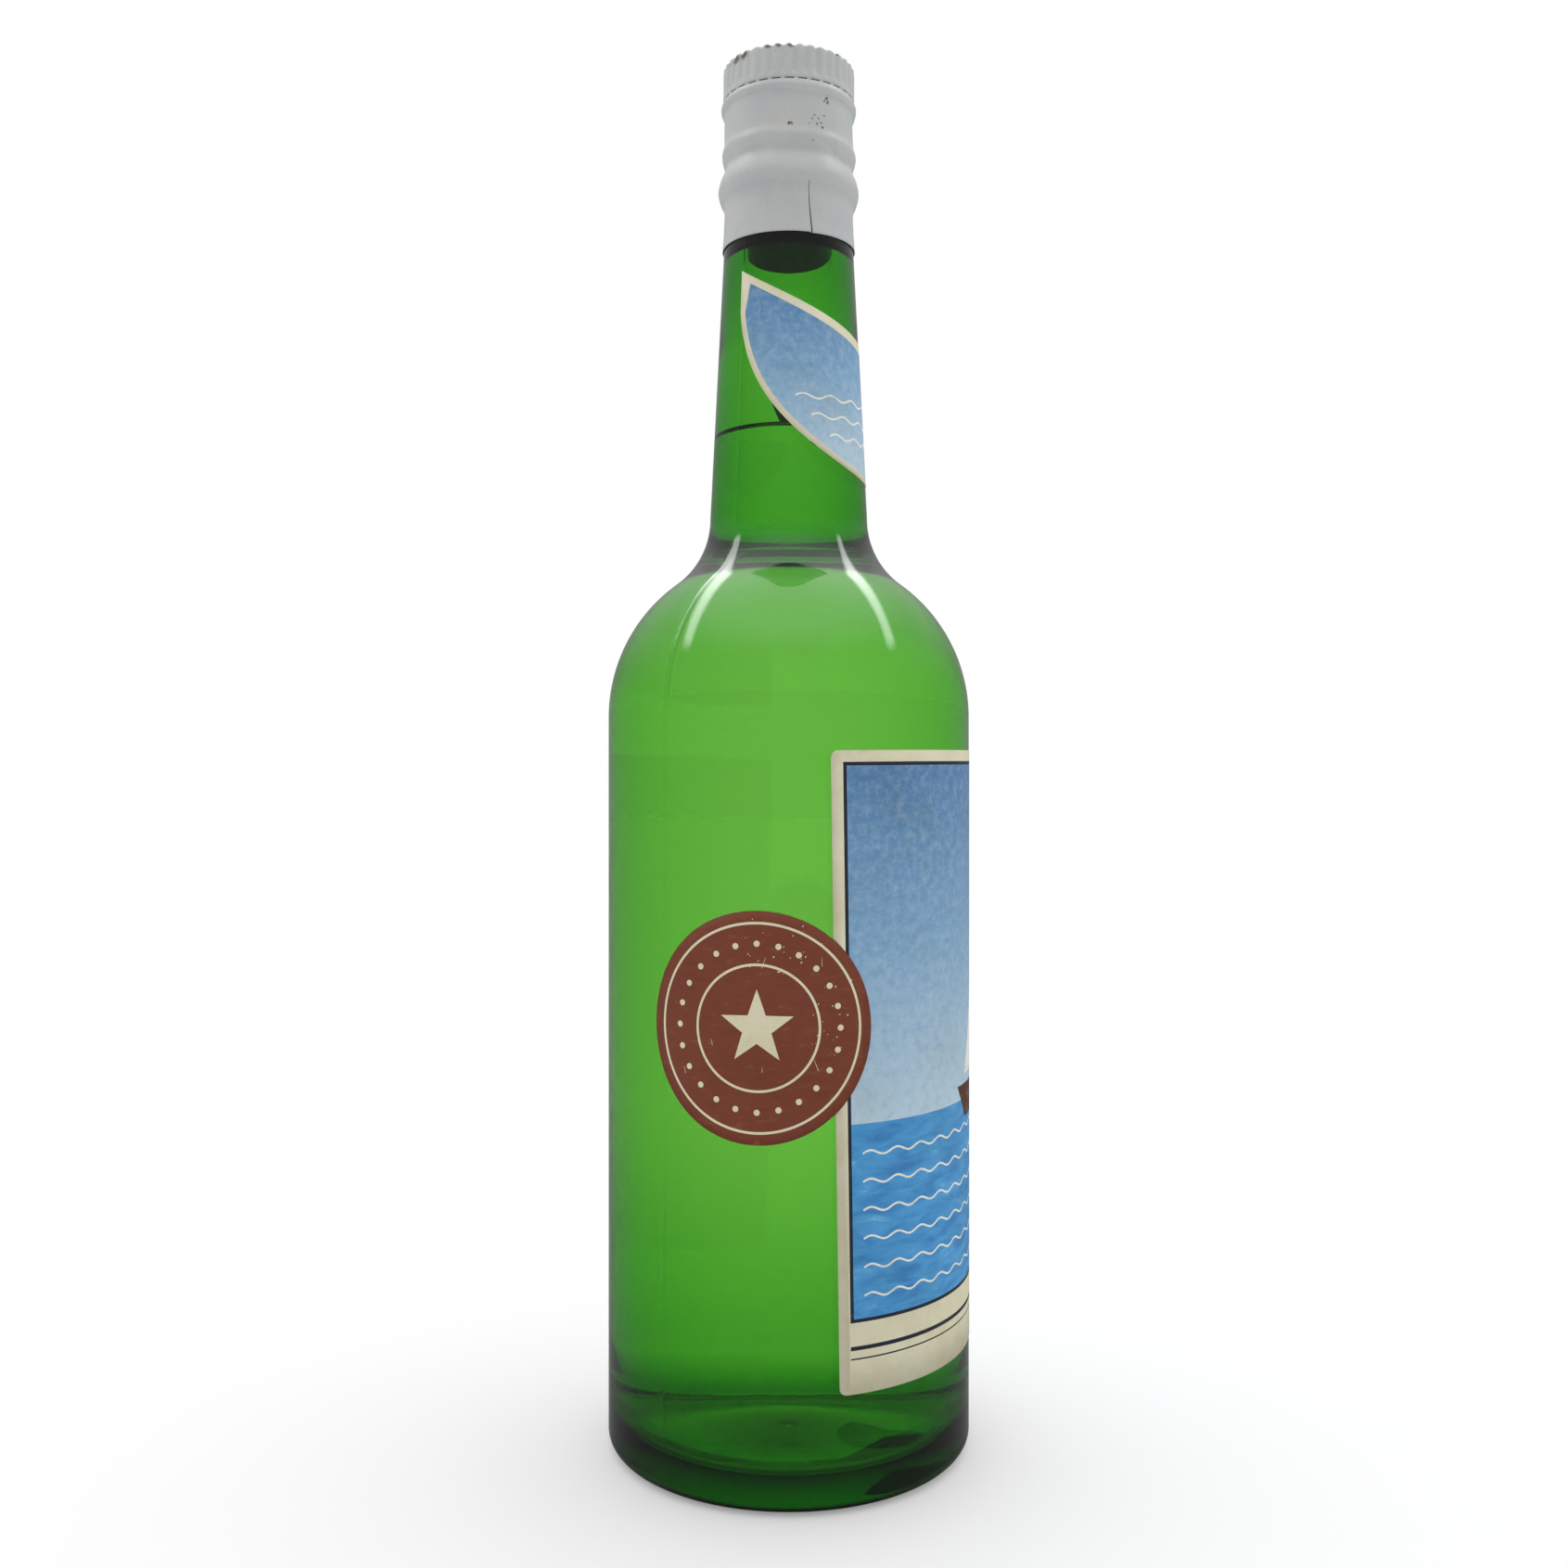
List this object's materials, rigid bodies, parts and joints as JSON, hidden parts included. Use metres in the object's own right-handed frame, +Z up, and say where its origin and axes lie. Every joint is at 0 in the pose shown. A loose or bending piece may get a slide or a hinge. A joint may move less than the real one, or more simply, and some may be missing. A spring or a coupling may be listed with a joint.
{
  "type": "spirits bottle",
  "caption": "Sealed and filled green glass spirits bottle with a knurled aluminium screw cap, a crimped sleeve and printed paper labels.",
  "frame": {"origin": "middle of the ring that the bottle stands on, at floor level", "axes": "+Z up along the bottle; -Y towards the middle of the front label and of the neck label; the round seal label faces -X"},
  "size_m": [0.0776, 0.0775, 0.2948],
  "materials": {
    "green_glass": "polished",
    "rum": "polished",
    "cap_lacquer": "satin",
    "sleeve_lacquer": "satin",
    "insert_plastic": "satin",
    "liner_film": "satin",
    "liner_cork": "matte",
    "front_paper": "satin",
    "neck_paper": "satin",
    "seal_paper": "satin"
  },
  "bodies": {
    "bottle": {"bottle_glass": "green_glass", "rum_fill": "rum", "sleeve": "sleeve_lacquer", "front_label": "front_paper", "neck_label": "neck_paper", "seal_label": "seal_paper"},
    "liner": {"liner_facing": "liner_film", "liner_core": "liner_cork"},
    "cap": {"cap_shell": "cap_lacquer", "cap_thread_insert": "insert_plastic", "tear_bridges": "sleeve_lacquer"}
  },
  "joints": [
    {"name": "cap_lift", "type": "slide", "parent": "bottle", "child": "liner", "axis": [0, 0, 1], "range_m": [0, 0.0121]},
    {"name": "cap_turn", "type": "hinge", "parent": "liner", "child": "cap", "pos_m": [0, 0, 0.2925], "axis": [0, 0, 1], "range_deg": [0, 1440]}
  ],
  "couplings": [
    {"joint": "cap_lift", "follows": "cap_turn", "m_per_rad": 0.00047746}
  ]
}
